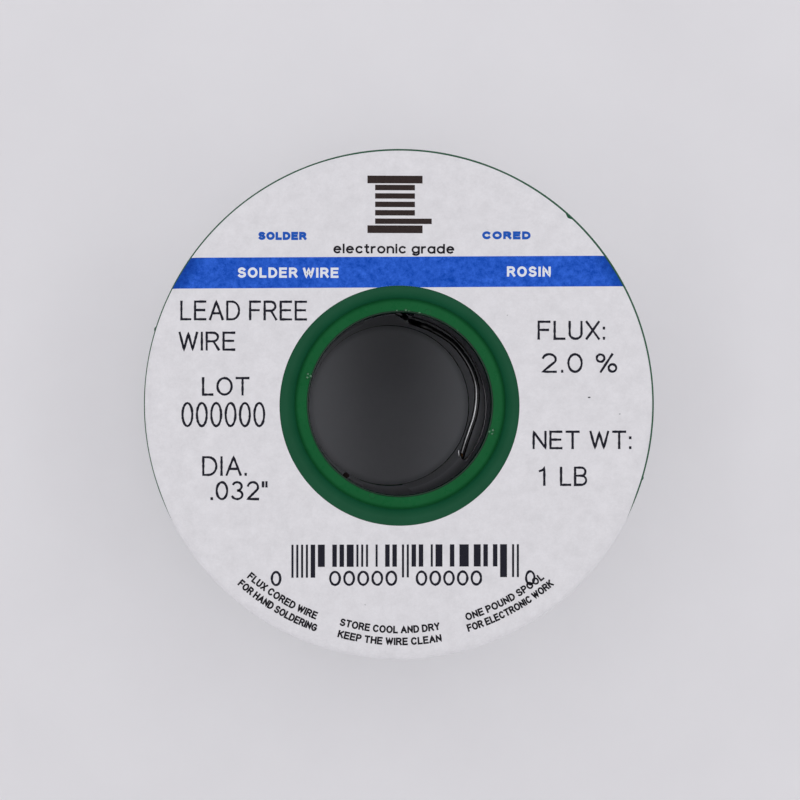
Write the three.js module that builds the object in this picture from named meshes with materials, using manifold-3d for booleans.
// A one-pound spool of flux-cored solder wire, standing on its lower flange.
// Millimetres, +Z up. The origin is on the spool's axis, at the underside of the
// lower flange, and +Y points to the top of the printed label.
//
// Two equal green flanges lap over the ends of a black hub tube and snap to it.
// The wire starts in a notch at the upper end of the tube, where a short tail of it
// reaches into the bore, and it is wound in layers between the flanges.

import * as THREE from 'three';
import { mergeVertices } from 'three/addons/utils/BufferGeometryUtils.js';
import Module from 'manifold-3d';

const wasm = await Module();
wasm.setup();

// ---- driving dimensions ----

const SPOOL_HEIGHT = 44.45;        // table to the top of the label
const FLANGE_RADIUS = 33.45;
const FLANGE_THICKNESS = 2.4;
const BORE_RADIUS = 12.0;
const HUB_RADIUS = 14.0;           // outside of the drum that carries the wire
const LAP_RADIUS = 13.05;          // middle of the lap joint between tube and flange
const LAP_LENGTH = 4.0;
const FIT_GAP = 0.05;              // each side of a joint between two mouldings
const SEAT_GAP = 0.15;             // between the wire and the plastic
const BORE_CHAMFER = 0.15;
const COLLAR_CHAMFER = 0.2;
const UNDER_CHAMFER = 0.5;         // under the flange's rim

const RECESS_RADIUS = 13.8;        // shallow ring around the bore, which holds the gate marks
const RECESS_DEPTH = 0.6;
const RECESS_EDGE = 0.4;           // width of the rounded edge around it
const RECESS_FILLET = [0.25, 0.2]; // where its wall meets its floor, width and height
const RIM_ROUND = 1.35;            // width of the rounded shoulder at the rim
const RIM_DROP = 1.1;
const RIM_STEPS = 6;
const LABEL_RIM_STEPS = 4;         // the label is turned down over this many of them

const GATE_COUNT = 4;
const GATE_AZIMUTH = 73;           // degrees, the first of four
const GATE_CIRCLE = 12.55;
const GATE_RADIUS = 0.45;
const GATE_HEIGHT = 0.22;
const GATE_TAPER = 0.8;            // its top's radius, as a share of its foot's
const RIM_NUB = { radius: 0.5, height: 0.5, sunk: 0.32, below: 0.35 };

// Snap lugs inside the flange's collar: their size outwards, around and up, and the
// place of their middle, outside of the lap and below the flange's inner face.
const LUG_SIZE = [0.9, 3.0, 1.0];
const LUG_OUT = 0.2;
const LUG_BELOW = 2.6;
const LUG_CLEARANCE = 0.15;

const LABEL_INNER = 15.7;
const LABEL_THICKNESS = 0.1;
const ADHESIVE = 0.02;

const WIRE_DIAMETER = 0.813;
const FLUX_DIAMETER = 0.26;
const FLUX_HOLE = 0.32;
const WOUND_RADIUS = 29.3;         // outside of the last full layer
const LAST_LAYER = 0.8;            // how far the unfinished layer stands above it
const LAST_LAYER_SHARE = 0.6;      // of the winding's width, from the upper flange

const NOTCH_AZIMUTH = 96;
const NOTCH_WIDTH = 6.4;
const NOTCH_DEPTH = 2.8;           // below the flange's inner face
const NOTCH_RELIEF = 0.2;          // how far it is cut into the flange itself
const NOTCH_THROUGH = 4;           // long enough to pass through tube and collar

const ROUND_STEPS = 72;            // facets around the spool
const UPPER_FACE = SPOOL_HEIGHT - LABEL_THICKNESS - ADHESIVE;
const WOUND_LOW = FLANGE_THICKNESS + SEAT_GAP;
const WOUND_HIGH = UPPER_FACE - FLANGE_THICKNESS - SEAT_GAP;
const LAST_LAYER_FOOT = WOUND_HIGH - LAST_LAYER_SHARE * (WOUND_HIGH - WOUND_LOW);

// The start of the wire, from the hub's notch: x, y and the depth below the top of the
// spool. It drops along the bore wall, then lies level against it to its cut tip.
const TAIL_ROUTE = [
  [-3.2, 13.15, 3.3], [-2.0, 12.85, 3.3], [-0.9, 12.45, 3.4], [0.1, 11.95, 3.8],
  [0.75, 11.55, 4.8], [0.95, 11.42, 6.4], [1.05, 11.4, 8.2], [1.15, 11.4, 10.0],
  [1.35, 11.38, 11.8], [1.95, 11.28, 13.2], [3.05, 11.0, 14.1], [4.75, 10.36, 14.5],
  [6.4, 9.45, 14.5], [8.2, 8.05, 14.5], [10.0, 5.55, 14.5], [10.95, 3.1, 14.5],
  [11.12, 0.9, 14.5], [10.8, -1.5, 14.5], [10.2, -3.4, 14.5], [9.6, -5.15, 14.5],
  [9.05, -6.95, 14.5],
];

// The free end of the wire: polar angle in degrees and how far it has sprung off the
// winding. It leaves the last turn beside the unfinished layer.
const FREE_END_SPRING = [
  [-96, 0], [-90, 0.02], [-84, 0.12], [-78, 0.32], [-72, 0.65],
  [-66, 1.1], [-60, 1.6], [-54, 2.1],
];

// ---- solids ----

// Swaps each triangle's winding if the closed surface faces inwards.
function facingOut(geometry) {
  const p = geometry.attributes.position;
  const index = geometry.index.array;
  const [a, b, c] = [new THREE.Vector3(), new THREE.Vector3(), new THREE.Vector3()];
  let volume = 0;
  for (let i = 0; i < index.length; i += 3) {
    a.fromBufferAttribute(p, index[i]);
    b.fromBufferAttribute(p, index[i + 1]);
    c.fromBufferAttribute(p, index[i + 2]);
    volume += a.dot(b.cross(c));
  }
  if (volume < 0) {
    for (let i = 0; i < index.length; i += 3) {
      [index[i], index[i + 1]] = [index[i + 1], index[i]];
    }
  }
  return geometry;
}

function merged(geometry) {
  geometry.deleteAttribute('normal');
  geometry.deleteAttribute('uv');
  return mergeVertices(geometry, 1e-4);
}

function toSolid(geometry) {
  const g = merged(geometry);
  return new wasm.Manifold(new wasm.Mesh({
    numProp: 3,
    vertProperties: new Float32Array(g.attributes.position.array),
    triVerts: new Uint32Array(g.index.array),
  }));
}

function fromSolid(solid) {
  const mesh = solid.getMesh();
  const geometry = new THREE.BufferGeometry();
  geometry.setAttribute('position', new THREE.BufferAttribute(mesh.vertProperties, 3));
  geometry.setIndex(new THREE.BufferAttribute(mesh.triVerts, 1));
  geometry.computeVertexNormals();
  return geometry;
}

// Turns a closed outline of [radius, height] points about the Z axis.
function revolve(outline) {
  const points = outline.map(([r, z]) => new THREE.Vector2(r, z));
  points.push(points[0].clone());
  const geometry = new THREE.LatheGeometry(points, ROUND_STEPS);
  geometry.rotateX(Math.PI / 2);
  return facingOut(merged(geometry));
}

// Points of a quarter ellipse from (r0, z0) to (r1, z1), level at its start.
function shoulder(r0, z0, r1, z1, steps) {
  const points = [];
  for (let i = 0; i <= steps; i += 1) {
    const t = (i / steps) * (Math.PI / 2);
    points.push([r0 + (r1 - r0) * Math.sin(t), z0 + (z1 - z0) * (1 - Math.cos(t))]);
  }
  return points;
}

// Moves a shape made on the +X side of the axis to a polar angle in degrees.
function atAzimuth(geometry, degrees) {
  return geometry.rotateZ(THREE.MathUtils.degToRad(degrees));
}

// ---- flange, drawn with its outer face at z = 0 and the hub below it ----

function rimShoulder(height) {
  return shoulder(FLANGE_RADIUS - RIM_ROUND, height, FLANGE_RADIUS, height - RIM_DROP, RIM_STEPS);
}

function flangeOutline() {
  const under = -FLANGE_THICKNESS;
  const lapInner = LAP_RADIUS + FIT_GAP;
  return [
    [BORE_RADIUS, under],
    [BORE_RADIUS, -RECESS_DEPTH - BORE_CHAMFER],
    [BORE_RADIUS + BORE_CHAMFER, -RECESS_DEPTH],
    [RECESS_RADIUS - RECESS_FILLET[0], -RECESS_DEPTH],
    [RECESS_RADIUS, -RECESS_DEPTH + RECESS_FILLET[1]],
    ...shoulder(RECESS_RADIUS + RECESS_EDGE, 0, RECESS_RADIUS, -0.25, 3).reverse(),
    ...rimShoulder(0),
    [FLANGE_RADIUS, under + UNDER_CHAMFER],
    [FLANGE_RADIUS - UNDER_CHAMFER, under],
    [HUB_RADIUS, under],
    [HUB_RADIUS, under - LAP_LENGTH + COLLAR_CHAMFER],
    [HUB_RADIUS - COLLAR_CHAMFER, under - LAP_LENGTH],
    [lapInner, under - LAP_LENGTH],
    [lapInner, under],
  ];
}

function gateMarks() {
  const marks = [];
  for (let i = 0; i < GATE_COUNT; i += 1) {
    const length = 2 * RECESS_DEPTH;
    const mark = new THREE.CylinderGeometry(GATE_RADIUS * GATE_TAPER, GATE_RADIUS, length, 10);
    mark.rotateX(Math.PI / 2);
    mark.translate(GATE_CIRCLE, 0, -RECESS_DEPTH + GATE_HEIGHT - length / 2);
    marks.push(toSolid(atAzimuth(mark, GATE_AZIMUTH + 90 * i)));
  }
  return marks;
}

// The snap lugs, or with some clearance the pockets in the tube that they enter.
function snapBlocks(clearance) {
  const [out, around, up] = LUG_SIZE;
  const blocks = [];
  for (let i = 0; i < GATE_COUNT; i += 1) {
    const block = new THREE.BoxGeometry(out + clearance, around + 2 * clearance, up + 2 * clearance);
    block.translate(LAP_RADIUS + LUG_OUT, 0, -FLANGE_THICKNESS - LUG_BELOW);
    blocks.push(toSolid(atAzimuth(block, GATE_AZIMUTH + 45 + 90 * i)));
  }
  return blocks;
}

// Two small vertical ribs on the rim, where the moulding was pushed out.
function rimNubs() {
  const nubs = [];
  for (const azimuth of [GATE_AZIMUTH + 90, GATE_AZIMUTH + 270]) {
    const nub = new THREE.CylinderGeometry(RIM_NUB.radius, RIM_NUB.radius, RIM_NUB.height, 8);
    nub.rotateX(Math.PI / 2);
    nub.translate(FLANGE_RADIUS - RIM_NUB.sunk, 0, -RIM_DROP - RIM_NUB.below);
    nubs.push(toSolid(atAzimuth(nub, azimuth)));
  }
  return nubs;
}

function wireNotch() {
  const height = NOTCH_DEPTH + NOTCH_RELIEF;
  const block = new THREE.BoxGeometry(NOTCH_THROUGH, NOTCH_WIDTH, height);
  block.translate(LAP_RADIUS, 0, -FLANGE_THICKNESS + NOTCH_RELIEF - height / 2);
  return toSolid(atAzimuth(block, NOTCH_AZIMUTH));
}

function flangeSolid() {
  let solid = toSolid(revolve(flangeOutline()));
  for (const part of [...gateMarks(), ...snapBlocks(0), ...rimNubs()]) {
    solid = solid.add(part);
  }
  return solid.subtract(wireNotch());
}

// ---- the spool's parts ----

function upperFlange() {
  return fromSolid(flangeSolid()).translate(0, 0, UPPER_FACE);
}

function lowerFlange() {
  return fromSolid(flangeSolid()).rotateX(Math.PI);
}

function hubTube() {
  const foot = FLANGE_THICKNESS + 2 * FIT_GAP;
  const head = UPPER_FACE - foot;
  const lapOuter = LAP_RADIUS - FIT_GAP;
  const lap = LAP_LENGTH + 2 * FIT_GAP;
  let solid = toSolid(revolve([
    [BORE_RADIUS, foot], [lapOuter, foot], [lapOuter, foot + lap], [HUB_RADIUS, foot + lap],
    [HUB_RADIUS, head - lap], [lapOuter, head - lap], [lapOuter, head], [BORE_RADIUS, head],
  ]));
  for (const cutter of [...snapBlocks(LUG_CLEARANCE), wireNotch()]) {
    solid = solid.subtract(cutter.translate([0, 0, UPPER_FACE]));
    solid = solid.subtract(cutter.rotate([180, 0, 0]));
  }
  return fromSolid(solid);
}

// The paper ring, lying on the flange and turned down over its rounded rim.
function label() {
  const under = UPPER_FACE + ADHESIVE;
  const lower = rimShoulder(under).slice(0, LABEL_RIM_STEPS + 1);
  const upper = lower.map(([r, z]) => [r, z + LABEL_THICKNESS]).reverse();
  return revolve([[LABEL_INNER, under], ...lower, ...upper,
    [LABEL_INNER, under + LABEL_THICKNESS]]);
}

// All the turns as one solid ring, with the step where the last layer stops.
function winding() {
  const inner = HUB_RADIUS + SEAT_GAP;
  const outer = WOUND_RADIUS + LAST_LAYER;
  return revolve([
    [inner, WOUND_LOW], [WOUND_RADIUS, WOUND_LOW], [WOUND_RADIUS, LAST_LAYER_FOOT],
    [outer, LAST_LAYER_FOOT], [outer, WOUND_HIGH], [inner, WOUND_HIGH],
  ]);
}

function circlePath(radius, sides, kind) {
  const path = new kind();
  for (let i = 0; i < sides; i += 1) {
    const t = (i / sides) * 2 * Math.PI;
    path[i === 0 ? 'moveTo' : 'lineTo'](radius * Math.cos(t), radius * Math.sin(t));
  }
  path.closePath();
  return path;
}

function sweep(section, route) {
  const length = route.getLength();
  const steps = Math.max(2, Math.round(length / (1.8 * WIRE_DIAMETER)));
  return facingOut(merged(new THREE.ExtrudeGeometry(section, {
    steps, extrudePath: route, bevelEnabled: false,
  })));
}

function wire(route) {
  const section = circlePath(WIRE_DIAMETER / 2, 8, THREE.Shape);
  section.holes.push(circlePath(FLUX_HOLE / 2, 6, THREE.Path));
  return sweep(section, route);
}

function fluxCore(route) {
  return sweep(circlePath(FLUX_DIAMETER / 2, 6, THREE.Shape), route);
}

function tailRoute() {
  const points = TAIL_ROUTE.map(([x, y, depth]) => new THREE.Vector3(x, y, SPOOL_HEIGHT - depth));
  return new THREE.CatmullRomCurve3(points);
}

function freeEndRoute() {
  const z = LAST_LAYER_FOOT - WIRE_DIAMETER / 2 - SEAT_GAP;
  const rest = WOUND_RADIUS + WIRE_DIAMETER / 2 + SEAT_GAP;
  return new THREE.CatmullRomCurve3(FREE_END_SPRING.map(([degrees, spring]) => {
    const t = THREE.MathUtils.degToRad(degrees);
    return new THREE.Vector3((rest + spring) * Math.cos(t), (rest + spring) * Math.sin(t), z);
  }));
}

// ---- the assembly ----

const GREEN_PLASTIC = { color: 0x1a5431, roughness: 0.4, metalness: 0 };
const BLACK_PLASTIC = { color: 0x141416, roughness: 0.18, metalness: 0 };
const WHITE_PAPER = { color: 0xd6d5da, roughness: 0.7, metalness: 0 };
const SOLDER = { color: 0xb4b6ba, roughness: 0.32, metalness: 1 };
const ROSIN = { color: 0xb98436, roughness: 0.35, metalness: 0 };

const spool = new THREE.Group();

function addPart(name, geometry, look) {
  const mesh = new THREE.Mesh(geometry, new THREE.MeshStandardMaterial(look));
  mesh.name = name;
  spool.add(mesh);
}

addPart('lower_flange', lowerFlange(), GREEN_PLASTIC);
addPart('upper_flange', upperFlange(), GREEN_PLASTIC);
addPart('hub_tube', hubTube(), BLACK_PLASTIC);
addPart('paper_label', label(), WHITE_PAPER);
addPart('wound_wire', winding(), SOLDER);
addPart('wire_start_tail', wire(tailRoute()), SOLDER);
addPart('start_flux_core', fluxCore(tailRoute()), ROSIN);
addPart('wire_free_end', wire(freeEndRoute()), SOLDER);
addPart('end_flux_core', fluxCore(freeEndRoute()), ROSIN);

export default spool;
